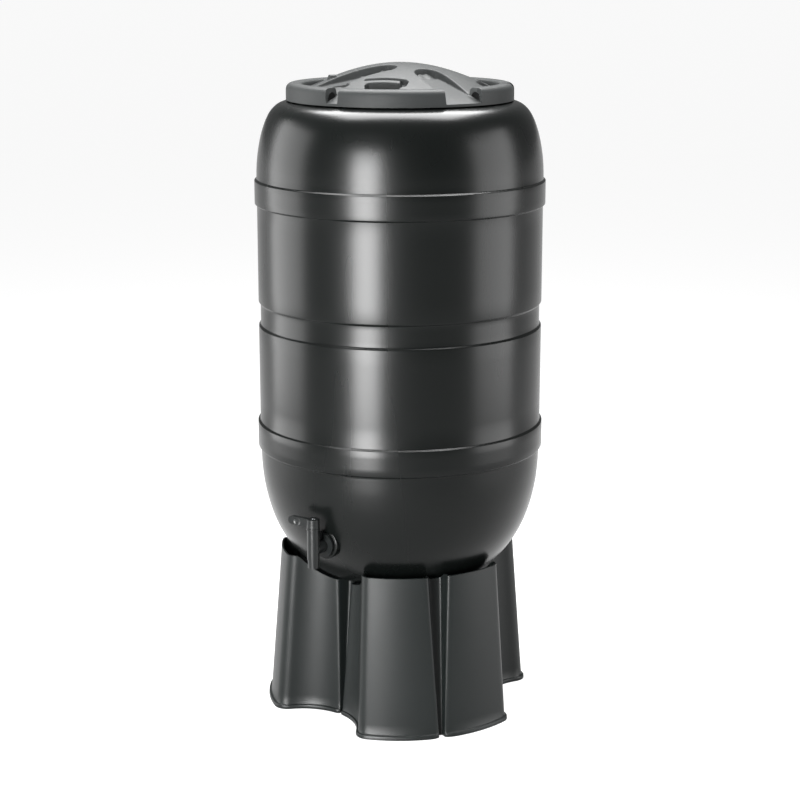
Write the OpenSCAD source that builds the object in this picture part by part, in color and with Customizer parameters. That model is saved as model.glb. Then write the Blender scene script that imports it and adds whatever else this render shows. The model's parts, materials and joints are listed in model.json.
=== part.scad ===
// Garden rain barrel with a lift-off lid, a quarter-turn tap and a lobed stand.
// Millimetres. Origin on the floor under the barrel's axis, +Z up, tap towards -Y.

/* [Barrel] */
// Widest radius, over the two raised bands
band_r = 290; // [270:1:310]
// Radius of the straight body between the bands
body_r = 285.5; // [275:0.5:287]
// Radius in the shallow groove round the middle
waist_r = 281; // [272:0.5:285]
// Wall thickness of the blow-moulded shell
shell_t = 4; // [3:0.5:5]
// Radius of the flat foot ring
foot_r = 150; // [130:5:170]
// Outside radius of the neck under the lid
neck_r = 182; // [170:1:186]
// Height of the top of the shoulder above the floor
shoulder_z = 1240; // [1200:5:1260]

/* [Lid] */
// Outside radius of the lid
lid_r = 230; // [225:1:235]
// Height of the lid's crown above its lower edge
crown_h = 70; // [60:1:80]
// Height of the raised rim above the lower edge
rim_h = 31; // [28:1:34]
// Wall thickness of the lid
lid_t = 3; // [2.5:0.5:4]
// How far the lid's pattern is turned from the tap
lid_turn = 34; // [0:1:119]

/* [Stand] */
// Radius over the stand's lobes at the floor
stand_r = 272; // [260:1:280]
// Overall height of the stand
stand_h = 328; // [310:1:340]
// Height of the deck that carries the barrel
deck_z = 279; // [265:1:285]
// Share of the floor radius lost at the top of the stand
stand_taper = 0.096; // [0.05:0.005:0.12]
// Wall thickness of the stand
stand_t = 4; // [3:0.5:5]
// How far the stand is turned from the tap
stand_turn = -8; // [-20:1:20]

/* [Tap] */
// Height of the tap's inlet above the floor
tap_z = 391; // [384:1:396]
// Distance of the spout's axis from the barrel's axis
spout_y = 302; // [298:1:308]
// Outside radius of the spout at its mouth
spout_r = 11; // [10:0.5:12]
// Bore radius of the spout
spout_bore_r = 8; // [7:0.5:8.5]
// Length of the lever from its pivot
lever_len = 55; // [40:1:65]

/* [Hidden] */
$fn = 96;
eps = 0.01;

// Barrel heights, worked from the shoulder
base_z = deck_z + 0.3;
bowl_top_z = 541;
lower_band = [547, 594];
waist = [797, 836];
upper_band = [1039, 1082];
step_h = 9;
push_up = 6;
neck_h = 10;
neck_t = 7;
bowl_centre_r = 105;
bowl_centre_z = 559;
bowl_half_w = 184.4;
bowl_half_h = 290;
shoulder_start_z = 1100;
shoulder_inner_r = 124;

// Tap stations along -Y, from the barrel outwards
boss_r = 30;
boss_face_y = 266;
boss_wall = 8;
washer_t = 3;
flange_t = 5;
flange_r = 25;
shank_r = 13.2;
shank_end_y = 226;
hole_r = 13.5;
arm_r = 14;
nut_af = 38;
nut_t = 12;

// Tap heights, from the spout's mouth upwards
tube_r = 12;
tube_bottom_z = 353;
mouth_h = 16;
tube_top_z = 433;
chamber_r = 9.05;
plug_r = 9;
plug_bottom_z = 374;
plug_shoulder_z = 421;
port_r = 5;
stem_r = 6;
stem_top_z = 446;
ring_z = 422;
ring_t = 2;
ring_out_r = 10.2;
hub_r = 12.5;
hub_z = 433.4;
hub_h = 18;
o_ring_r = 1;
o_ring_zs = [379, 404];

// Lid stations, from the lid's lower edge
lid_z = shoulder_z + 2.5;
crown_r = 236;
crown_edge_r = 226;
crown_power = 1.3;
rim_w = 33;
plateau_r = 196;
scoop_slope = 14.6;
lock_r = 157;
lock_az = -127;

// ---------- paths ----------

function add(a, b) = [a[0] + b[0], a[1] + b[1]];
function turn(p, a) = [p[0] * cos(a) - p[1] * sin(a), p[0] * sin(a) + p[1] * cos(a)];
function arc(c, r, a0, a1, n) = [for (i = [0:n]) let (a = a0 + (a1 - a0) * i / n) add(c, [r * cos(a), r * sin(a)])];
function flip(list) = [for (i = [len(list) - 1:-1:0]) list[i]];
function unit(v) = v / norm(v);
// Right-hand normal of the step from a to b
function right_of(a, b) = unit([b[1] - a[1], a[0] - b[0]]);
// Moves point p by t along the mitre of its two neighbouring edges
function mitre(a, p, b, t) =
    let (n1 = right_of(a, p), n2 = right_of(p, b), m = unit(n1 + n2)) add(p, m * t / max(0.3, m * n1));
function offset_ring(ring, t) =
    let (n = len(ring)) [for (i = [0:n - 1]) mitre(ring[(i + n - 1) % n], ring[i], ring[(i + 1) % n], t)];
function offset_path(path, t) =
    let (n = len(path)) [for (i = [0:n - 1])
        i == 0 ? add(path[0], right_of(path[0], path[1]) * t)
        : i == n - 1 ? add(path[i], right_of(path[i - 1], path[i]) * t)
        : mitre(path[i - 1], path[i], path[i + 1], t)];

// ---------- stand ----------

bite_c = 300;
bite_r = 118;
lobe_slot = [12, 41];
bite_slot = [5, 41];
slot_depth = [12, 30];
lip = 5;
lip_h = 8;
top_share = 1 - stand_taper;

// Runs child 0 at the three scallops and child 1 at the three lobes
module around() for (k = [0:2]) {
    rotate(120 * k - 90 + stand_turn) children(0);
    rotate(120 * k - 30 + stand_turn) children(1);
}

// Leans with the wall: a cone whose foot has radius r and stands at distance c
module leaning_cone(c, r, grow) translate([c, 0, 0]) rotate([0, -atan(c * stand_taper / stand_h), 0])
    translate([0, 0, -20]) cylinder(h = 400, r1 = r * (1 + 20 / stand_h * stand_taper) + grow,
        r2 = r * (1 - 380 / stand_h * stand_taper) + grow);

// Groove with a flat back, r0 and r1 from the axis at the floor and at the top, widening from w0 to w1
module groove(r0, r1, w0, w1, grow) translate([r0 - grow, 0, 0]) rotate([0, -atan((r0 - r1) / stand_h), 0])
    rotate([90, 0, 90]) linear_extrude(110) polygon([
        [-w0 / 2 - grow, -30], [w0 / 2 + grow, -30], [w0 / 2 + grow, 0], [w1 / 2 + grow, stand_h * 1.1],
        [-w1 / 2 - grow, stand_h * 1.1], [-w0 / 2 - grow, 0]]);

module stand_form(grow) {
    bite_back = bite_c - bite_r;
    difference() {
        translate([0, 0, -grow]) cylinder(h = stand_h + 2 * grow, r1 = stand_r - grow, r2 = stand_r * top_share - grow);
        around() {
            union() {
                leaning_cone(bite_c, bite_r, grow);
                groove(bite_back - slot_depth[0], bite_back * top_share - slot_depth[1],
                    bite_slot[0], bite_slot[1], grow);
            }
            groove(stand_r - slot_depth[0], stand_r * top_share - slot_depth[1],
                lobe_slot[0], lobe_slot[1], grow);
        }
    }
}

module stand_hollow(z0, z1) intersection() {
    stand_form(stand_t);
    translate([0, 0, z0]) cylinder(h = z1 - z0, r = 300);
}

// Turned-out foot, open where the grooves run
module stand_lip() difference() {
    cylinder(h = lip_h, r = stand_r + lip);
    translate([0, 0, -1]) cylinder(h = lip_h + 2, r = stand_r - 30);
    around() {
        leaning_cone(bite_c, bite_r, -lip);
        groove(stand_r - slot_depth[0], stand_r * top_share - slot_depth[1], lobe_slot[0], lobe_slot[1], -0.5);
    }
}

module stand_skin() {
    stand_form(0);
    difference() {
        stand_lip();
        intersection() {
            stand_form(2);
            translate([0, 0, -5]) cylinder(h = 50, r = 300);
        }
    }
}

module stand() {
    cradle_gap = 3;
    cradle_z = deck_z + 0.15;
    color("#2f3231") union() {
        difference() {
            stand_skin();
            stand_hollow(-3, deck_z - stand_t);
            stand_hollow(deck_z, stand_h + 3);
            // cradle for the barrel's bowl
            rotate_extrude() polygon(concat([[0, cradle_z]],
                [for (p = offset_path(bowl_path(8), cradle_gap)) [p[0], max(cradle_z, p[1])]], [[0, 500]]));
        }
        stand_ribs();
    }
}

rib_h = 40;
rib_len = 150;

module stand_ribs() {
    for (k = [0:2]) rotate(60 * k + stand_turn) translate([-rib_len, -2, deck_z - stand_t - rib_h])
        cube([2 * rib_len, 4, rib_h + 1]);
}

// ---------- barrel ----------

// Lower bowl, from the foot ring up to the lower band
function bowl_path(n) =
    let (a0 = asin((bowl_centre_z - base_z - 0.1) / bowl_half_h * 0.999), a1 = asin((bowl_centre_z - bowl_top_z) / bowl_half_h))
    concat([[foot_r, base_z]], [for (i = [1:n]) let (a = a0 + (a1 - a0) * i / n)
        [max(foot_r, bowl_centre_r + (body_r - 1 - bowl_centre_r) * cos(a)), bowl_centre_z - bowl_half_h * sin(a)]]);
function shoulder_path(n) = [for (i = [0:n]) let (a = 90 * pow(i / n, 0.8) * 0.985)
    [shoulder_inner_r + (body_r - shoulder_inner_r) * pow(cos(a), 0.27),
     shoulder_start_z + (shoulder_z - shoulder_start_z) * pow(sin(a), 1.5)]];
function step_to(r0, r1, z) = [[r0, z - step_h / 2], [r1, z + step_h / 2]];
function barrel_path() = concat(
    [[0, base_z + push_up], [foot_r - 28, base_z + push_up], [foot_r - 22, base_z]],
    bowl_path(18),
    step_to(body_r, band_r, lower_band[0]), step_to(band_r, body_r, lower_band[1]),
    step_to(body_r, waist_r, waist[0]), step_to(waist_r, body_r, waist[1]),
    step_to(body_r, band_r, upper_band[0]), step_to(band_r, body_r, upper_band[1]),
    shoulder_path(14));

module barrel_outside() rotate_extrude() polygon(concat(barrel_path(),
    [[neck_r, shoulder_z], [neck_r, shoulder_z + neck_h], [0, shoulder_z + neck_h]]));

module barrel_inside() rotate_extrude() polygon(concat(
    [for (p = offset_path(barrel_path(), -shell_t)) [max(0, p[0]), p[1]]],
    [[neck_r - neck_t, shoulder_z - shell_t], [neck_r - neck_t, shoulder_z + neck_h + 1], [0, shoulder_z + neck_h + 1]]));

// A cylinder along -Y at the tap's height, from y0 to y1
module along_tap(r, y0, y1) translate([0, -y0, tap_z]) rotate([90, 0, 0]) cylinder(h = y1 - y0, r = r);

module barrel_shell() color("#222625") difference() {
    union() {
        barrel_outside();
        along_tap(boss_r, 200, boss_face_y);
    }
    difference() {
        barrel_inside();
        along_tap(boss_r - 0.5, boss_face_y - boss_wall, boss_face_y);
    }
    along_tap(boss_r - 5, 190, boss_face_y - boss_wall);
    along_tap(hole_r, 190, boss_face_y + 1);
}

// ---------- lid ----------

function crown_at(r) = crown_h * pow(1 - pow(r / crown_r, 2), crown_power);
function crown_path() = [for (i = [0:7]) let (r = crown_edge_r * i / 7) [r, crown_at(r)]];
function rim_path() = concat(
    arc([lid_r - 10.5, rim_h - 9], 9, 15, 90, 2),
    [[plateau_r, rim_h]]);

module crown(drop, floor_z) rotate_extrude() polygon(concat(
    [[0, floor_z], [crown_edge_r - drop, floor_z]],
    flip([for (p = crown_path()) [max(0, p[0] - drop), p[1] - drop]])));

// Wedge between two bearings, measured from the lid's own zero
module sector(a0, a1, r0, r1, z0, z1) translate([0, 0, z0]) linear_extrude(z1 - z0)
    polygon([for (q = [[r0, a0], [r1, a0], [r1, a1], [r0, a1]]) [q[0] * cos(q[1]), q[0] * sin(q[1])]]);

// Gaps in the rim: a wide one for each scoop, a narrow drain beside the next arm
wide_gap = [22.5, 43.5];
narrow_gap = [-38.5, -31.5];

module rim_gaps(grow) for (k = [0:2]) rotate(120 * k) {
    sector(wide_gap[0] - grow / 3.5, wide_gap[1] + grow / 3.5, 120, 260, -2 - grow, 60);
    sector(narrow_gap[0] - grow / 3.5, narrow_gap[1] + grow / 3.5, 120, 260, -2 - grow, 60);
}

// A pocket with a round inner end, its floor falling outwards from r0 at height z0
module scoop(az, r0, z0, w, slope, len, grow) rotate(az) translate([r0, 0, z0]) rotate([0, slope, 0])
    translate([0, 0, -grow]) linear_extrude(60) polygon(concat([[len, -w / 2 - grow], [len, w / 2 + grow]],
        arc([0, 0], w / 2 + grow, 90, 270, 6)));

// Finger hold in the crown: a step with an upright back, and a slot behind it that leaves a bar
module finger_hold(grow) rotate(-13) {
    translate([136 - grow, -31 - grow, 26 - grow]) cube([44 + 2 * grow, 62 + 2 * grow, 40]);
    translate([121 - grow, -27 - grow, 34 - grow]) cube([6 + 2 * grow, 54 + 2 * grow, 30]);
}

module rim_pocket(grow) rotate(-5) translate([168 - grow, -24 - grow, 20 - grow])
    cube([36 + 2 * grow, 48 + 2 * grow, 40]);

module lid_cuts(grow) {
    for (k = [0:2]) rotate(120 * k) {
        scoop(34, 108, 35, 62, scoop_slope, 140, grow);
        finger_hold(grow);
        rim_pocket(grow);
    }
    // long recess on the left of the crown
    translate([67, -112, 0]) scoop(90, 0, 40, 46, 0, 85, grow);
}

module rim_ring(t, floor_z) difference() {
    rotate_extrude() polygon(concat([[plateau_r + t, floor_z]], [[lid_r - t, floor_z]],
        [for (p = rim_path()) [p[0] < lid_r - 12 ? plateau_r + t : p[0] - t, p[1] - t]]));
    rim_gaps(t);
}

module lid_body() {
    crown(0, 0);
    rim_ring(0, 0);
}

module lid_space() difference() {
    union() {
        crown(lid_t, -1);
        rim_ring(lid_t, -1);
    }
    lid_cuts(lid_t);
}

// The lid's own frame has its zero bearing towards -Y
module on_lid() translate([0, 0, lid_z]) rotate(-90 + lid_turn) children();

module lock_place() rotate(lock_az) translate([lock_r, 0, 0]) children();

stem_bore_r = 4.06;
lock_stem_r = 4;
seat_z = 7.55;
boss_top_z = 30;

module lid_solid() difference() {
    lid_body();
    lid_cuts(0);
}

module lid_cover() color("#3a3d3d") on_lid() difference() {
    union() {
        difference() {
            lid_solid();
            lid_space();
        }
        // collar that drops over the neck, and the ledge that rests on it
        intersection() {
            lid_solid();
            difference() {
                cylinder(h = 60, r = neck_r + 5.5);
                translate([0, 0, -1]) cylinder(h = seat_z + 1, r = neck_r + 2.5);
                translate([0, 0, -2]) cylinder(h = 70, r = neck_r - 8);
                translate([0, 0, seat_z + 2]) cylinder(h = 60, r = neck_r + 2.5);
            }
        }
        lock_place() translate([0, 0, 8]) cylinder(h = boss_top_z - 8, r = 9);
    }
    lock_place() translate([0, 0, -5]) cylinder(h = 60, r = stem_bore_r);
}

// ---------- lid lock ----------

knob_r = 11;
knob_z = boss_top_z + 0.3;
knob_h = 7;
cam_z = 1.5;
cam_h = 6;
cam_reach = neck_r - neck_t - 0.4 - lock_r;
spigot_r = 3;

// Grip turned from outside; its stem runs down through the lid
module lid_lock_knob() color("#2b2d2d") on_lid() lock_place() difference() {
    union() {
        difference() {
            translate([0, 0, knob_z]) cylinder(h = knob_h, r = knob_r);
            for (s = [-1, 1]) translate([s * 9 - 5, -14, knob_z + 2.5]) cube([10, 28, 10]);
        }
        translate([0, 0, cam_z + cam_h]) cylinder(h = knob_z - cam_z - cam_h + 1, r = lock_stem_r);
        translate([0, 0, cam_z]) cylinder(h = cam_h + 1, r = spigot_r);
    }
    translate([0, 0, cam_z - 1]) cylinder(h = 13, r = 1.3);
}

// Wedge that swings out against the inside of the neck
module lid_lock_cam() color("#2b2d2d") on_lid() lock_place() translate([0, 0, cam_z]) difference() {
    union() {
        cylinder(h = cam_h, r = 7);
        translate([-5, -cam_reach + 5, 0]) cube([10, cam_reach - 5, cam_h]);
        translate([0, -cam_reach + 5, 0]) cylinder(h = cam_h, r = 5);
    }
    translate([0, 0, -1]) cylinder(h = cam_h + 2, r = spigot_r + 0.04);
}

module lid_lock_screw() color("#9a9c9c") on_lid() lock_place() difference() {
    union() {
        translate([0, 0, cam_z - 2.2]) cylinder(h = 2.2, r = 4.5);
        translate([0, 0, cam_z - 0.1]) cylinder(h = 11, r = 1.28);
    }
    translate([-3, -0.5, cam_z - 3]) cube([6, 1, 1.8]);
    translate([-0.5, -3, cam_z - 3]) cube([1, 6, 1.8]);
}

// ---------- tap ----------

// A cylinder on the spout's axis, from z0 to z1
module on_spout(r, z0, z1) translate([0, -spout_y, z0]) cylinder(h = z1 - z0, r = r);

module tap_body() color("#26292a") difference() {
    union() {
        along_tap(shank_r, shank_end_y, boss_face_y + washer_t + 1);
        along_tap(flange_r, boss_face_y + washer_t, boss_face_y + washer_t + flange_t);
        along_tap(arm_r, boss_face_y + washer_t + 1, spout_y);
        on_spout(spout_r, tube_bottom_z, tube_top_z);
        on_spout(tube_r, tube_bottom_z + mouth_h, tube_top_z);
        on_spout(tube_r + 1, tube_top_z - 3, tube_top_z);
        // web between the flange and the back of the tube
        translate([2.5, 0, 0]) rotate([0, -90, 0]) linear_extrude(5) polygon([
            [tap_z, -boss_face_y - washer_t - 1], [tap_z + 22, -boss_face_y - washer_t - 1],
            [tube_top_z - 4, -spout_y + tube_r - 1], [tap_z, -spout_y]]);
    }
    along_tap(spout_bore_r, shank_end_y - 1, spout_y);
    on_spout(spout_bore_r, tube_bottom_z - 1, tube_top_z + 1);
    on_spout(chamber_r, plug_bottom_z, tube_top_z + 1);
    on_spout(ring_out_r + 0.05, ring_z - 0.05, ring_z + ring_t + 0.05);
}

// Turning core: an elbow passage that faces sideways when shut
module tap_plug() color("#d8d9d4") difference() {
    union() {
        on_spout(plug_r, plug_bottom_z + 0.2, plug_shoulder_z);
        on_spout(stem_r, plug_shoulder_z - 1, stem_top_z);
    }
    on_spout(port_r, plug_bottom_z - 1, tap_z);
    translate([0, -spout_y, tap_z]) sphere(r = port_r);
    translate([0, -spout_y, tap_z]) rotate([0, 90, 0]) cylinder(h = 20, r = port_r);
    for (z = o_ring_zs) difference() {
        on_spout(plug_r + 1, z - o_ring_r - 0.1, z + o_ring_r + 0.1);
        on_spout(plug_r - 2 * o_ring_r - 0.1, z - 2, z + 2);
    }
    on_spout(1.6, stem_top_z - 16, stem_top_z + 1);
    // flats that carry the lever
    for (s = [-1, 1]) translate([s * 8.5 - 4, -spout_y - 10, hub_z + 1]) cube([8, 20, 30]);
}

module tap_plug_o_rings() color("#161616") for (z = o_ring_zs) translate([0, -spout_y, z])
    rotate_extrude() translate([plug_r - o_ring_r - 0.03, 0]) circle(r = o_ring_r, $fn = 24);

// Split ring that keeps the plug down in the tube
module tap_retaining_ring() color("#b9bcbe") difference() {
    on_spout(ring_out_r, ring_z, ring_z + ring_t);
    on_spout(stem_r + 0.3, ring_z - 1, ring_z + ring_t + 1);
    translate([-2, -spout_y, ring_z - 1]) cube([4, 20, ring_t + 2]);
}

// Hub and flat paddle, pointing along -X when shut
module tap_lever() color("#26292a") difference() {
    union() {
        on_spout(hub_r, hub_z, hub_z + hub_h);
        translate([-lever_len + 6, -spout_y - 5, hub_z + 1]) cube([lever_len - 6, 10, hub_h - 2]);
        translate([-lever_len + 6, -spout_y - 5, hub_z + hub_h / 2]) rotate([-90, 0, 0]) cylinder(h = 10, r = hub_h / 2 - 1);
    }
    // thumb hollows on both faces of the paddle
    for (s = [-1, 1]) translate([-lever_len / 2 - 8, -spout_y + s * 21.5, hub_z + hub_h / 2])
        sphere(r = 18.5);
    difference() {
        on_spout(stem_r + 0.05, hub_z - 1, stem_top_z + 0.2);
        for (s = [-1, 1]) translate([s * 8.45 - 3.9, -spout_y - 10, hub_z + 0.95]) cube([7.8, 20, 30]);
    }
    on_spout(2.2, hub_z, hub_z + hub_h + 1);
    on_spout(4.6, hub_z + hub_h - 3, hub_z + hub_h + 1);
}

module tap_lever_screw() color("#9a9c9c") difference() {
    union() {
        on_spout(4.4, hub_z + hub_h - 3, hub_z + hub_h - 0.4);
        on_spout(1.55, stem_top_z - 15, hub_z + hub_h - 2);
    }
    translate([-3.2, -spout_y - 0.6, hub_z + hub_h - 1.8]) cube([6.4, 1.2, 3]);
    translate([-0.6, -spout_y - 3.2, hub_z + hub_h - 1.8]) cube([1.2, 6.4, 3]);
}

module tap_outer_washer() color("#161616") difference() {
    along_tap(22, boss_face_y, boss_face_y + washer_t);
    along_tap(shank_r + 0.1, boss_face_y - 1, boss_face_y + washer_t + 1);
}

module tap_inner_washer() color("#161616") difference() {
    along_tap(22, boss_face_y - boss_wall - washer_t, boss_face_y - boss_wall);
    along_tap(shank_r + 0.1, 200, boss_face_y);
}

module tap_back_nut() color("#26292a") difference() {
    translate([0, -(boss_face_y - boss_wall - washer_t - nut_t), tap_z]) rotate([90, 0, 0]) rotate(30)
        cylinder(h = nut_t, r = nut_af / 2 / cos(30), $fn = 6);
    along_tap(shank_r + 0.05, 200, boss_face_y);
}

stand();
barrel_shell();
lid_cover();
lid_lock_knob();
lid_lock_cam();
lid_lock_screw();
tap_body();
tap_plug();
tap_plug_o_rings();
tap_retaining_ring();
tap_lever();
tap_lever_screw();
tap_outer_washer();
tap_inner_washer();
tap_back_nut();
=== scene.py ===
"""Rain barrel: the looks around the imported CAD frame.

Lengths are millimetres in the shape functions and metres in Blender. Z is up and the tap points to -Y.
On the lid and for the lights, bearing 0 is the camera's own and bearings grow to the right.
"""
import json
import math

import bmesh
import bpy
import numpy as np
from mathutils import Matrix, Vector


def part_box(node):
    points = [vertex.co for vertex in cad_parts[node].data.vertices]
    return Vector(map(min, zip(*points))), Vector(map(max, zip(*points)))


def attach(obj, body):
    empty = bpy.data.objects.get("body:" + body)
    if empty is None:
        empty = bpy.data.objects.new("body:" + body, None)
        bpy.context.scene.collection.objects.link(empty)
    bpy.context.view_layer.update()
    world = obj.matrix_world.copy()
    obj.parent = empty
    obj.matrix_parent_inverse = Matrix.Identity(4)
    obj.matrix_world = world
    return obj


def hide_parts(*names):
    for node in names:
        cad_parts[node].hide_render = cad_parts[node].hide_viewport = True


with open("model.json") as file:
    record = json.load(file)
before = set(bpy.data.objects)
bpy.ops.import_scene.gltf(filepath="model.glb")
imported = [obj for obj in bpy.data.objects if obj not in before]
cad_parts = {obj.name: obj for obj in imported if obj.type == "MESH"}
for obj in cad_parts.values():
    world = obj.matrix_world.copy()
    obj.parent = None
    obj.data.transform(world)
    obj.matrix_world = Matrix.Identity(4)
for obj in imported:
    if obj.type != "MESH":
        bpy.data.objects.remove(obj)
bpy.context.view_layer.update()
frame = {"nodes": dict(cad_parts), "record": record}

MM = 0.001
CAMERA_AZ = 34.0
AXIS_R = 0.5  # innermost ring of a turned piece


# ---------- places taken from the frame ----------

def node_box(name):
    """Low and high corners of a CAD node in millimetres."""
    low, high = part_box(name)
    return [v * 1000 for v in low], [v * 1000 for v in high]


STAND_H = node_box("stand")[1][2]
barrel_low, barrel_high = node_box("barrel_shell")
BASE_Z = barrel_low[2]
NECK_TOP = barrel_high[2]
lid_low, lid_high = node_box("lid_cover")
LID_Z = lid_low[2]
CROWN_H = lid_high[2] - LID_Z
flange_low, flange_high = node_box("tap_outer_washer")
TAP_Z = (flange_low[2] + flange_high[2]) / 2
BOSS_Y = -flange_high[1]


# ---------- materials ----------

def material(name, color, rough, bump=0.0, scale=400.0, rough_var=0.0, metallic=0.0, spec=0.5, mottle=0.0,
             streak=False):
    """Plastic, rubber or metal with fine procedural grain and slight unevenness of gloss."""
    mat = bpy.data.materials.new(name)
    mat.use_nodes = True
    nodes, links = mat.node_tree.nodes, mat.node_tree.links
    nodes.clear()
    out = nodes.new("ShaderNodeOutputMaterial")
    shader = nodes.new("ShaderNodeBsdfPrincipled")
    links.new(shader.outputs["BSDF"], out.inputs["Surface"])
    shader.inputs["Metallic"].default_value = metallic
    shader.inputs["Specular IOR Level"].default_value = spec
    place = nodes.new("ShaderNodeTexCoord")
    broad = nodes.new("ShaderNodeTexNoise")
    broad.inputs["Scale"].default_value = 6.0
    broad.inputs["Detail"].default_value = 3.0
    if streak:
        squeeze = nodes.new("ShaderNodeMapping")
        squeeze.inputs["Scale"].default_value = (1.0, 1.0, 0.12)
        links.new(place.outputs["Object"], squeeze.inputs["Vector"])
        links.new(squeeze.outputs["Vector"], broad.inputs["Vector"])
    else:
        links.new(place.outputs["Object"], broad.inputs["Vector"])
    ramp = nodes.new("ShaderNodeMapRange")
    ramp.inputs["To Min"].default_value = rough - rough_var
    ramp.inputs["To Max"].default_value = rough + rough_var
    links.new(broad.outputs["Fac"], ramp.inputs["Value"])
    links.new(ramp.outputs["Result"], shader.inputs["Roughness"])
    tint = nodes.new("ShaderNodeMix")
    tint.data_type = "RGBA"
    tint.inputs[6].default_value = (*[c * (1 - mottle) for c in color], 1)
    tint.inputs[7].default_value = (*[c * (1 + mottle) for c in color], 1)
    links.new(broad.outputs["Fac"], tint.inputs[0])
    links.new(tint.outputs[2], shader.inputs["Base Color"])
    if bump:
        grain = nodes.new("ShaderNodeTexNoise")
        grain.inputs["Scale"].default_value = scale
        grain.inputs["Detail"].default_value = 2.0
        links.new(place.outputs["Object"], grain.inputs["Vector"])
        bumped = nodes.new("ShaderNodeBump")
        bumped.inputs["Strength"].default_value = bump
        bumped.inputs["Distance"].default_value = 0.0004
        links.new(grain.outputs["Fac"], bumped.inputs["Height"])
        links.new(bumped.outputs["Normal"], shader.inputs["Normal"])
    return mat


LOOKS = {
    "barrel_plastic": dict(color=(0.0012, 0.0015, 0.0014), rough=0.27, bump=0.12, scale=260, rough_var=0.03,
                           streak=True, mottle=0.1, spec=0.13),
    "stand_plastic": dict(color=(0.0026, 0.0034, 0.0033), rough=0.42, bump=0.3, scale=500, rough_var=0.05,
                          mottle=0.12, spec=0.16),
    "lid_plastic": dict(color=(0.0085, 0.0093, 0.0093), rough=0.55, bump=0.35, scale=700, rough_var=0.04,
                        mottle=0.08, spec=0.10),
    "knob_plastic": dict(color=(0.009, 0.010, 0.010), rough=0.42, bump=0.2, scale=600, rough_var=0.04,
                         spec=0.3),
    "tap_plastic": dict(color=(0.0025, 0.003, 0.003), rough=0.34, bump=0.15, scale=500, rough_var=0.04,
                        spec=0.2),
    "plug_plastic": dict(color=(0.70, 0.70, 0.67), rough=0.35, bump=0.1, rough_var=0.03),
    "seal_rubber": dict(color=(0.018, 0.018, 0.018), rough=0.75, bump=0.3, rough_var=0.05),
    "screw_steel": dict(color=(0.62, 0.63, 0.64), rough=0.28, bump=0.1, scale=900, rough_var=0.05,
                        metallic=1.0),
    # painted shade: near-black colour of the plates that stand in for the shade inside the hollow bead's
    # mouths
    "hollow_shade": dict(color=(0.0015, 0.0016, 0.0016), rough=0.8, bump=0.1, spec=0.05),
}
MATS = {name: material(name, **look) for name, look in LOOKS.items()}
SLOTS = {s["node"]: s["material_slot"] for s in frame["record"]["subparts"]}
for node, obj in frame["nodes"].items():
    obj.data.materials.clear()
    obj.data.materials.append(MATS[SLOTS[node]])


# ---------- mesh helpers ----------

def make(name, verts, faces, slot, body, smooth_deg=40.0, look=None):
    """Mesh object from points in millimetres, riding on a body and finished from a record slot."""
    mesh = bpy.data.meshes.new(name)
    mesh.from_pydata([tuple(float(c) * MM for c in v) for v in verts], [], faces)
    mesh.validate()
    work = bmesh.new()
    work.from_mesh(mesh)
    bmesh.ops.remove_doubles(work, verts=work.verts, dist=1e-6)
    bmesh.ops.recalc_face_normals(work, faces=work.faces)
    work.to_mesh(mesh)
    work.free()
    obj = bpy.data.objects.new(name, mesh)
    bpy.context.scene.collection.objects.link(obj)
    mesh.materials.append(MATS[look or slot])
    mesh.shade_smooth()
    mesh.set_sharp_from_angle(angle=math.radians(smooth_deg))
    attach(obj, body)
    return obj


def grid_faces(rows, cols):
    """Quads between rows of equal length that wrap round."""
    faces = []
    for r in range(rows - 1):
        for c in range(cols):
            d = (c + 1) % cols
            faces.append((r * cols + c, r * cols + d, (r + 1) * cols + d, (r + 1) * cols + c))
    return faces


def lathe(profile, segments):
    """Points and faces of a profile of (r, z) turned about Z."""
    verts = []
    for r, z in profile:
        for i in range(segments):
            a = 2 * math.pi * i / segments
            verts.append((r * math.cos(a), r * math.sin(a), z))
    return verts, grid_faces(len(profile), segments)


def smooth_curve(points, per):
    """Catmull-Rom through points, per samples a span."""
    pts = [np.array(p, float) for p in points]
    pts = [2 * pts[0] - pts[1]] + pts + [2 * pts[-1] - pts[-2]]
    out = []
    for i in range(1, len(pts) - 2):
        p0, p1, p2, p3 = pts[i - 1:i + 3]
        for k in range(per):
            t = k / per
            out.append(0.5 * ((2 * p1) + (p2 - p0) * t + (2 * p0 - 5 * p1 + 4 * p2 - p3) * t * t
                              + (3 * p1 - p0 - 3 * p2 + p3) * t ** 3))
    out.append(pts[-2])
    return [(float(p[0]), float(p[1])) for p in out]


def ease(x, x0, x1):
    """0 up to x0, 1 from x1 on, and an S-curve between."""
    t = np.clip((x - x0) / (x1 - x0), 0, 1)
    return t * t * (3 - 2 * t)


def round_step(r0, r1, z, height, n=10):
    """S-shaped change of radius from r0 to r1 about height z."""
    out = []
    for i in range(n + 1):
        t = i / n
        s = t * t * (3 - 2 * t)
        out.append((r0 + (r1 - r0) * s, z + height * (t - 0.5)))
    return out


def smoothed(values, times):
    """Values round a closed ring, each averaged with its neighbours."""
    for _ in range(times):
        values = 0.25 * np.roll(values, 1, 0) + 0.5 * values + 0.25 * np.roll(values, -1, 0)
    return values


def turned(points, deg):
    c, s = math.cos(math.radians(deg)), math.sin(math.radians(deg))
    return np.stack([points[:, 0] * c - points[:, 1] * s, points[:, 0] * s + points[:, 1] * c], 1)


# ---------- barrel ----------

BODY_R = 285.3
BAND_R = 289.9
GROOVE_R = 281.2
BOWL_R = 284.6        # where the bowl meets the lower band
SHOULDER_R = 285.6    # where the upper band meets the shoulder
NECK_R = 182.0
NECK_BORE_R = 175.0
NECK_EDGE = 1.5
SHELL_WALL = 4.0
SHOULDER_Z = 1200.0   # above this the wall is measured downwards
BOWL_Z = 330.0        # below this the wall is measured upwards
NECK_SEAT_R = 190.0   # where the shoulder turns into the neck

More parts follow.
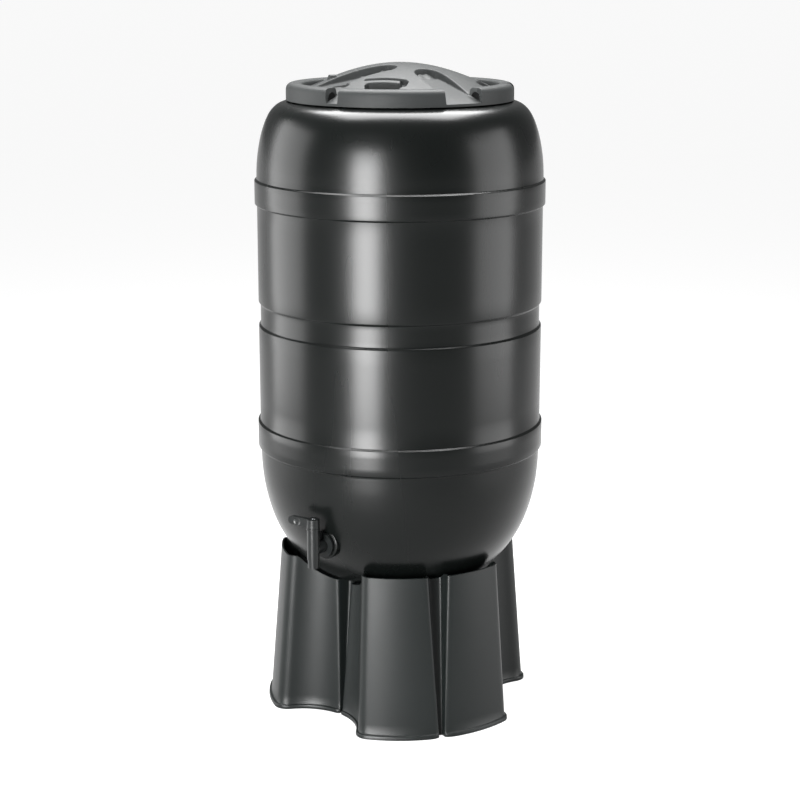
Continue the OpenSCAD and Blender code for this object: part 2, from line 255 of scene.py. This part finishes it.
bowl = smooth_curve([(150, BASE_Z), (165, 284.5), (190, 299.5), (214.3, 321.6), (236, 350), (254.6, 383.4),
                     (268.4, 421), (278.2, 463), (282.8, 500), (BOWL_R, 538)], 8)
shoulder = smooth_curve([(285.4, 1100), (284.4, 1118), (281.9, 1140), (277.3, 1165), (271.8, 1185),
                         (264.5, 1204), (255, 1220), (242, 1231.8), (226, 1237.6), (205, 1239.8),
                         (NECK_SEAT_R, 1240)], 8)


def barrel_outside():
    """From the middle of the base, over both bands and the groove between them, to the foot of the neck."""
    base = [(AXIS_R, BASE_Z + 6), (120, BASE_Z + 6), (128, BASE_Z + 1), (134, BASE_Z)]
    lower_band = round_step(BOWL_R, BAND_R, 543.5, 5) + [(BAND_R, 560), (BAND_R, 580)]
    lower_wall = round_step(BAND_R, BODY_R, 597, 4.5) + [(BODY_R, z) for z in (640, 700, 760)]
    groove = round_step(BODY_R, GROOVE_R, 794, 6) + [(GROOVE_R, 806), (GROOVE_R, 826)]
    upper_wall = round_step(GROOVE_R, BODY_R, 839, 6) + [(BODY_R, z) for z in (880, 940, 1000)]
    upper_band = round_step(BODY_R, BAND_R, 1036, 4.5) + [(BAND_R, 1050), (BAND_R, 1070)]
    return (base + bowl + lower_band + lower_wall + groove + upper_wall + upper_band
            + round_step(BAND_R, SHOULDER_R, 1085, 4.5) + shoulder)


def barrel_inside(outside):
    """The outside moved in by the wall, from under the shoulder back to the base."""
    out = []
    for r, z in reversed(outside):
        if r < NECK_SEAT_R and z > SHOULDER_Z:
            continue
        lift = -SHELL_WALL if z > SHOULDER_Z else SHELL_WALL if z < BOWL_Z else 0
        out.append((max(AXIS_R, r - SHELL_WALL), z + lift))
    return out


def add_barrel():
    outside = barrel_outside()
    neck = [(NECK_R + 1.2, 1240.6), (NECK_R, 1242), (NECK_R, NECK_TOP - NECK_EDGE),
            (NECK_R - NECK_EDGE, NECK_TOP), (NECK_BORE_R + NECK_EDGE, NECK_TOP),
            (NECK_BORE_R, NECK_TOP - NECK_EDGE), (NECK_BORE_R, 1236)]
    verts, faces = lathe(outside + neck + barrel_inside(outside), 288)
    barrel = make("barrel_skin", verts, faces, "barrel_plastic", "barrel", 50)
    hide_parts("barrel_shell")


def add_tap_boss():
    """Flat round boss that the tap's outer washer seats on, turned about the tap's axis."""
    root, bore_r, boss_r = 240, 13.5, 30
    profile = [(bore_r, root), (boss_r - 1, root), (boss_r, root + 2), (boss_r, BOSS_Y - 2.2),
               (boss_r - 0.6, BOSS_Y - 0.7), (boss_r - 2, BOSS_Y - 0.1), (bore_r, BOSS_Y - 0.1)]
    verts, faces = lathe(profile + profile[:1], 128)
    verts = [(x, -z, TAP_Z + y) for x, y, z in verts]
    make("barrel_tap_boss", verts, faces, "barrel_plastic", "barrel")


add_barrel()
add_tap_boss()


# ---------- stand ----------

STAND_R = 272.0
TAPER = 0.096             # share of its size that the stand loses from foot to top
STAND_TURN = -8.0
SCALLOP_R = 118
SCALLOP_AT = 300          # centre of a scallop's circle from the axis
LOBE_FILLET = 24
SCALLOP_PLEAT = (5, 41)   # widths of the pleat in a scallop, at the foot and at the top
LOBE_PLEAT = (12, 41)     # widths of the pleat in a lobe
PLEAT_DEPTH = (12, 30)
WALL = 4.0
DECK_Z = BASE_Z - 0.3
FOOT_LIP = 5
TOP_EDGE = 1.0


def blend(pair, z):
    return pair[0] + (pair[1] - pair[0]) * z / STAND_H


def polar(cx, cy, r, a0, a1, n):
    a = np.radians(np.linspace(a0, a1, n))
    return np.stack([cx + r * np.cos(a), cy + r * np.sin(a)], 1)


def between(a, b, n):
    t = np.linspace(0, 1, n)[:, None]
    return np.array(a)[None] * (1 - t) + np.array(b)[None] * t


def half_outline(z):
    """From the middle of a scallop to the middle of a lobe, with a weight that is 0 inside the pleats."""
    s = 1 - TAPER * z / STAND_H
    r, c, q, f = STAND_R * s, SCALLOP_AT * s, SCALLOP_R * s, LOBE_FILLET * s
    aim = math.degrees(math.acos(((r - f) ** 2 + c * c - (q + f) ** 2) / (2 * (r - f) * c)))
    cx, cy = (r - f) * math.cos(math.radians(aim)), (r - f) * math.sin(math.radians(aim))
    swing = 180 - math.degrees(math.atan2(cy, cx - c))
    w1, w2, d = blend(SCALLOP_PLEAT, z), blend(LOBE_PLEAT, z), blend(PLEAT_DEPTH, z)
    b0 = math.degrees(math.asin(w1 / 2 / q))
    l1 = 60 - math.degrees(math.asin(w2 / 2 / r))
    back1 = [c - q - d, w1 * 0.35]
    mouth1 = [c + q * math.cos(math.radians(180 - b0)), q * math.sin(math.radians(180 - b0))]
    mouth2 = [r * math.cos(math.radians(l1)), r * math.sin(math.radians(l1))]
    back2 = turned(np.array([[r - d, -w2 * 0.35]]), 60)[0]
    mid2 = turned(np.array([[r - d, 0.0]]), 60)[0]
    parts = [(between([c - q - d, 0], back1, 5), 0), (between(back1, mouth1, 9), 0),
             (polar(c, 0, q, 180 - b0, 180 - swing, 26), 1), (polar(cx, cy, f, -swing, aim, 12), 1),
             (polar(0, 0, r, aim, l1, 22), 1), (between(mouth2, back2, 9), 0), (between(back2, mid2, 5), 0)]
    points = np.concatenate([p[:-1] for p, _ in parts])
    weights = np.concatenate([np.full(len(p) - 1, float(w)) for p, w in parts])
    return points, weights


def outline(z):
    """The whole outline at a height: a half outline and its mirror image, three times round."""
    half, w = half_outline(z)
    mirrored = half[1:][::-1] * np.array([1, -1])
    repeat = np.concatenate([mirrored, half])
    points = np.concatenate([turned(repeat, 120 * k - 90 + STAND_TURN) for k in range(3)])
    weights = np.tile(np.concatenate([w[1:][::-1], w]), 3)
    return smoothed(points, 2), smoothed(weights, 4)


def normals(points):
    along = np.roll(points, -1, 0) - np.roll(points, 1, 0)
    out = np.stack([along[:, 1], -along[:, 0]], 1)
    return out / np.linalg.norm(out, axis=1)[:, None]


LEVELS = np.linspace(0, STAND_H, 42)
RINGS = np.array([outline(z)[0] for z in LEVELS])
WEIGHTS = outline(0)[1]
COUNT = RINGS.shape[1]


def ring_at(heights, inset=0.0, lip=0.0):
    """Outline points at their own heights, moved in by inset and out by lip where there is no pleat."""
    k = np.clip(heights / STAND_H * (len(LEVELS) - 1), 0, len(LEVELS) - 1.001)
    lo = k.astype(int)
    t = (k - lo)[:, None]
    i = np.arange(COUNT)
    p = RINGS[lo, i] * (1 - t) + RINGS[lo + 1, i] * t
    n = normals(p)
    return p - n * inset + n * (lip * WEIGHTS)[:, None]


def top_edge():
    """Height of the stand's top edge at each outline point, a little below the barrel's bowl."""
    bowl_r, bowl_z = zip(*bowl)
    top = np.full(COUNT, STAND_H - 3.0)
    for _ in range(4):
        radius = np.linalg.norm(ring_at(top), axis=1)
        top = np.clip(np.interp(radius - 5, bowl_r, bowl_z) - 4.0, DECK_Z + 3, STAND_H - 0.5)
    return smoothed(top, 3)


def stand_rows():
    """Rings from the inner foot out and up the side, over the edge, across the deck and down the inside."""
    flat = np.ones(COUNT)
    top = top_edge()
    rows = []

    def row(heights, inset, lip=0.0):
        rows.append(np.column_stack([ring_at(heights, inset, lip), heights]))

    def level(points, z):
        rows.append(np.column_stack([points, flat * z]))

    row(flat * 0, WALL)
    for z, inset, lip in ((0, 0.6, FOOT_LIP), (0.8, 0, FOOT_LIP), (6.4, 0, FOOT_LIP), (7.6, 0, 4.3),
                          (8.6, 0, 1.2), (10.5, 0, 0)):
        row(flat * z, inset, lip)
    for share in np.linspace(0.06, 0.98, 22):
        row(10.5 + (top - 12) * share, 0)
    for drop, inset in ((TOP_EDGE, 0.0), (0.2, 0.8), (0, 2.0), (0.2, 3.2), (TOP_EDGE, WALL)):
        row(top - drop, inset)
    row(np.minimum(top - 2, flat * (DECK_Z + 4)), WALL)
    row(flat * (DECK_Z + 1), WALL + 0.3)
    row(flat * DECK_Z, WALL + 1.5)
    deck = rows[-1][:, :2]
    for shrink in (0.8, 0.5, 0.2, 0.02):
        level(deck * shrink, DECK_Z)
    under = DECK_Z - WALL
    level(deck * 0.02, under)
    inner = ring_at(flat * under, WALL + 1)
    for shrink in (0.2, 0.5, 0.8, 1.0):
        level(inner * shrink, under)
    for share in np.linspace(0.02, 1, 12):
        row(flat * under * (1 - share), WALL)
    return rows


def add_stand():
    rows = stand_rows()
    faces = grid_faces(len(rows), COUNT)
    stand = make("stand_moulding", np.concatenate(rows), faces, "stand_plastic", "stand", 38)
    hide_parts("stand")


add_stand()


# ---------- lid ----------

LID_R = 225.0
LID_TURN = CAMERA_AZ
RIM_H = 31.0
RIM_FILLET = 12
BEAD_R = 189.0              # where the bead starts to rise
GAP_STEP = 120
WIDE_GAP = (22.5, 43.5)     # bearings of the first wide gap in the bead
NARROW_GAP = (-38.5, -31.5)  # bearings of the first of three narrow gaps
WIDE_GAPS = 2
GRIP_AZ = -13
STOP_H = 47.0

# cuts with straight sides: bearing, middle (u, v), half sizes, corner radius, floor, wall slope, fillet
GRIP_CUTS = [
    (GRIP_AZ, 170, 2, 26, 33, 7, 27, 3.2, 2.6),     # landing round the grip block
    (GRIP_AZ, 126, 1, 2.6, 40, 2.5, 33, 5, 1.0),    # slot behind the block
    (GRIP_AZ, 150, 2, 6, 33, 5, 12, 6, 1.0),        # trench along its front
    (GRIP_AZ, 138, 39, 11, 5, 4, 25, 5, 1.0),       # gap at its right end
    (-46.5, 157, 0, 4.5, 17, 4, 16, 5, 1.0),        # short slot beside the narrow gap
]
KNOB_SEAT = (-133, 158, 0, 22, 31, 6, 26, 3.2, 2.6)
# pockets that follow the bead: bearing, middle radius, floor height, half width, half length
POCKETS = [(-94, 172, 12, 15, 34), (83, 175, 20, 17, 33), (172, 172, 16, 16, 38)]


def smooth_min(a, b, k):
    h = np.clip(0.5 + 0.5 * (b - a) / k, 0, 1)
    return b * (1 - h) + a * h - k * h * (1 - h)


def smooth_max(a, b, k):
    return -smooth_min(-a, -b, k)


def box_distance(u, v, hu, hv, corner):
    """Signed distance to a rounded rectangle of half sizes hu and hv."""
    du, dv = np.abs(u) - hu + corner, np.abs(v) - hv + corner
    return np.hypot(np.maximum(du, 0), np.maximum(dv, 0)) + np.minimum(np.maximum(du, dv), 0) - corner


def local(x, y, az):
    """The same places on axes turned to a bearing: u outwards, v to the right."""
    a = math.radians(az)
    return x * math.cos(a) + y * math.sin(a), -x * math.sin(a) + y * math.cos(a)


def carve(z, distance, floor, wall=3.2, k=2.6):
    """Lowers z to floor inside a footprint, with steep filleted sides."""
    return smooth_min(z, floor + np.maximum(distance, 0) * wall, k)


def carve_box(z, x, y, cut):
    az, mid_u, mid_v, half_u, half_v, corner, floor, wall, k = cut
    u, v = local(x, y, az)
    return carve(z, box_distance(u - mid_u, v - mid_v, half_u, half_v, corner), floor, wall, k)


def capsule(x, y, a, b, ra, rb):
    """Signed distance to a tapering capsule from a to b, and how far along it each point lies."""
    ab = np.array(b, float) - np.array(a, float)
    t = ((x - a[0]) * ab[0] + (y - a[1]) * ab[1]) / (ab @ ab)
    t = np.clip(t, 0, 1)
    return np.hypot(x - a[0] - t * ab[0], y - a[1] - t * ab[1]) - (ra + (rb - ra) * t), t


def in_gap(bearing, gap, edge):
    return ease(bearing, gap[0] - edge, gap[0] + edge) * (1 - ease(bearing, gap[1] - edge, gap[1] + edge))


def bead_height(r, az):
    """Height of the rim bead alone, 0 inside it and in its gaps."""
    turn = LID_R - RIM_FILLET
    fillet = RIM_H - RIM_FILLET + np.sqrt(np.maximum(RIM_FILLET ** 2 - (r - turn) ** 2, 0))
    bead = np.where(r > turn, fillet, RIM_H)
    bead = np.minimum(bead, RIM_H - 9 + np.sqrt(np.maximum(9 ** 2 - np.maximum(200 - r, 0) ** 2, 0)))
    bead = bead * ease(r, BEAD_R, BEAD_R + 3.5)
    part = (az + 60) % GAP_STEP - 60
    edge = np.degrees(1.3 / np.maximum(r, 1))
    wide = in_gap(part, WIDE_GAP, edge) * (az > -60)
    return bead * (1 - np.maximum(wide, in_gap(part, NARROW_GAP, edge)))


def lid_height(x, y):
    """Height of the lid's upper surface over its lower edge; bearing 0 is the middle of the front."""
    r = np.hypot(x, y)
    az = np.degrees(np.arctan2(y, x))
    crown = CROWN_H * np.maximum(1 - (r / 236.0) ** 2, 0) ** 1.3
    bead = bead_height(r, az)
    z = smooth_max(crown, bead, 3.0)
    # scoop that runs out through each wide gap
    for k in range(WIDE_GAPS):
        u, v = local(x, y, GAP_STEP * k)
        far, _ = capsule(u, v, (90, 60), (198, 132), 27, 34)
        z = carve(z, far, 41 - 0.285 * np.maximum(r - 100, 0))
    # long recess on the left of the crown, which leaves the bead whole
    far, t = capsule(x, y, (59, -30), (92, -168), 20, 36)
    z = np.maximum(carve(z, far, 51 - 31 * t), bead)
    for cut in GRIP_CUTS:
        z = carve_box(z, x, y, cut)
    for az0, mid, floor, half_w, half_l in POCKETS:
        v = np.radians((az - az0 + 180) % 360 - 180) * mid
        z = carve(z, box_distance(r - mid, v, half_w, half_l, 10), floor)
    z = carve_box(z, x, y, KNOB_SEAT)
    # raised stop on the left flank
    u, v = local(x, y, -77)
    sides = STOP_H - 3.0 * box_distance(u - 133, v, 9, 10, 4)
    inside = box_distance(u - 133, v, 12, 13, 4) < 0
    return np.maximum(z, np.where(inside, smooth_min(np.full_like(z, STOP_H), sides, 2.0), 0))


def lid_rows(count):
    """Rings from the middle of the top outwards, down the rim, and back under the lid to its middle."""
    a = np.linspace(0, 2 * math.pi, count, endpoint=False)
    cos, sin = np.cos(a), np.sin(a)
    radii = np.concatenate([np.linspace(AXIS_R, 20, 6), np.linspace(22, LID_R - RIM_FILLET, 192),
                            np.linspace(LID_R - RIM_FILLET + 1, LID_R - 0.05, 22)])
    rows = [np.column_stack([r * cos, r * sin, np.maximum(lid_height(r * cos, r * sin), 1.2)]) for r in radii]
    rim = rows[-1]
    skirt, lip = 1.8, 1.5
    for share in (0.66, 0.33):
        rows.append(np.column_stack([rim[:, :2] * 1.0008, rim[:, 2] * share - lip * (1 - share)]))
    for grow in (1.0008, 0.987):
        rows.append(np.column_stack([rim[:, :2] * grow, np.full(count, -skirt)]))
    for r in (LID_R - 3.4, 212, 200, 185, 160, 130, 100, 70, 40, AXIS_R):
        low = np.min([lid_height((r + d) * cos, (r + d) * sin) for d in (-6, 0, 6)], axis=0)
        rows.append(np.column_stack([r * cos, r * sin, np.maximum(low - 3, 0.1)]))
    return rows


def place_lid(points):
    """From the lid's own axes to the frame's."""
    return np.column_stack([turned(points[:, :2], -90 + LID_TURN), points[:, 2] + LID_Z])


def add_lid():
    count = 1200
    rows = lid_rows(count)
    faces = grid_faces(len(rows), count)
    lid = make("lid_moulding", place_lid(np.concatenate(rows)), faces, "lid_plastic", "lid", 60)
    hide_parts("lid_cover")


def add_bead_shade_plate(name, az, facing):
    """Painted shade in the arched mouth of the hollow bead: a thin dark plate on the end wall at this
    bearing, standing in for the shade inside the bead.
    """
    n = 24
    mid_r, half_w, spring, rise = 207.5, 12, 5, 18
    arch = [(mid_r + half_w * math.cos(math.pi * i / n), spring + rise * math.sin(math.pi * i / n))
            for i in range(n + 1)]
    points = [(mid_r + half_w, 0.4)] + arch + [(mid_r - half_w, 0.4)]
    a = math.radians(az)
    c, s = math.cos(a), math.sin(a)
    verts = []
    for off in (0.9, -2.0):
        v = facing * off
        verts += [(u * c - v * s, u * s + v * c, z) for u, z in points]
    m = len(points)
    faces = [tuple(range(m)), tuple(range(2 * m - 1, m - 1, -1))]
    faces += [(i, (i + 1) % m, m + (i + 1) % m, m + i) for i in range(m)]
    make(name, place_lid(np.array(verts)), faces, "lid_plastic", "lid", look="hollow_shade")


add_lid()
# dark plates of painted shade at the end walls of the bead's gaps
for k in range(3):
    add_bead_shade_plate(f"lid_bead_shade_plate_{k}a", NARROW_GAP[0] + GAP_STEP * k, 1)
    if k < WIDE_GAPS:
        add_bead_shade_plate(f"lid_bead_shade_plate_{k}b", WIDE_GAP[1] + GAP_STEP * k, -1)


# ---------- floor, light, camera ----------

FLOOR_HALF = 250.0
CAMERA_DISTANCE = 3.802
CAMERA_HEIGHT = 1.5286
CAMERA_PITCH = 13.30
LENS = 85.83
SENSOR = 36
WHITE = (1.0, 1.0, 1.0, 1)
BARREL_MIDDLE = (0, 0, 0.75)
BARREL_TOP = (0, 0, 1.2)


def add_floor():
    mat = material("floor_white", (0.14, 0.14, 0.14), 0.6, rough_var=0.02, spec=0.1)
    shader = mat.node_tree.nodes["Principled BSDF"]
    shader.inputs["Emission Color"].default_value = WHITE
    shader.inputs["Emission Strength"].default_value = 0.9
    work = bmesh.new()
    bmesh.ops.create_grid(work, x_segments=8, y_segments=8, size=FLOOR_HALF)
    mesh = bpy.data.meshes.new("floor")
    work.to_mesh(mesh)
    work.free()
    obj = bpy.data.objects.new("floor", mesh)
    bpy.context.scene.collection.objects.link(obj)
    mesh.materials.append(mat)


def add_world():
    world = bpy.data.worlds.new("studio")
    bpy.context.scene.world = world
    world.use_nodes = True
    background = world.node_tree.nodes["Background"]
    background.inputs["Color"].default_value = WHITE
    background.inputs["Strength"].default_value = 0.2


def at(az, distance, height):
    a = math.radians(CAMERA_AZ + az)
    return Vector((distance * math.sin(a), -distance * math.cos(a), height))


def softbox(name, az, distance, height, wide, tall, power, aim=BARREL_MIDDLE):
    """Area light at a bearing from the camera's own, facing the barrel."""
    data = bpy.data.lights.new(name, "AREA")
    data.shape = "RECTANGLE"
    data.size = wide
    data.size_y = tall
    data.energy = power
    obj = bpy.data.objects.new(name, data)
    obj.location = at(az, distance, height)
    obj.rotation_euler = (Vector(aim) - obj.location).to_track_quat("-Z", "Y").to_euler()
    bpy.context.scene.collection.objects.link(obj)


def add_camera():
    data = bpy.data.cameras.new("camera")
    data.lens = LENS
    data.sensor_width = SENSOR
    obj = bpy.data.objects.new("camera", data)
    obj.location = at(0, CAMERA_DISTANCE, CAMERA_HEIGHT)
    obj.rotation_euler = (math.radians(90 - CAMERA_PITCH), 0, math.radians(CAMERA_AZ))
    bpy.context.scene.collection.objects.link(obj)
    bpy.context.scene.camera = obj


add_floor()
add_world()
softbox("key_strip", -25.5, 2.6, 0.80, 0.86, 2.05, 390)
softbox("left_panel", -99, 2.6, 1.1, 1.9, 2.4, 120)
softbox("right_panel", 78, 2.7, 1.1, 1.9, 2.4, 130)
softbox("top_panel", 180, 0.35, 3.0, 2.3, 1.7, 520, BARREL_TOP)
add_camera()
bpy.context.scene.view_settings.view_transform = "Standard"
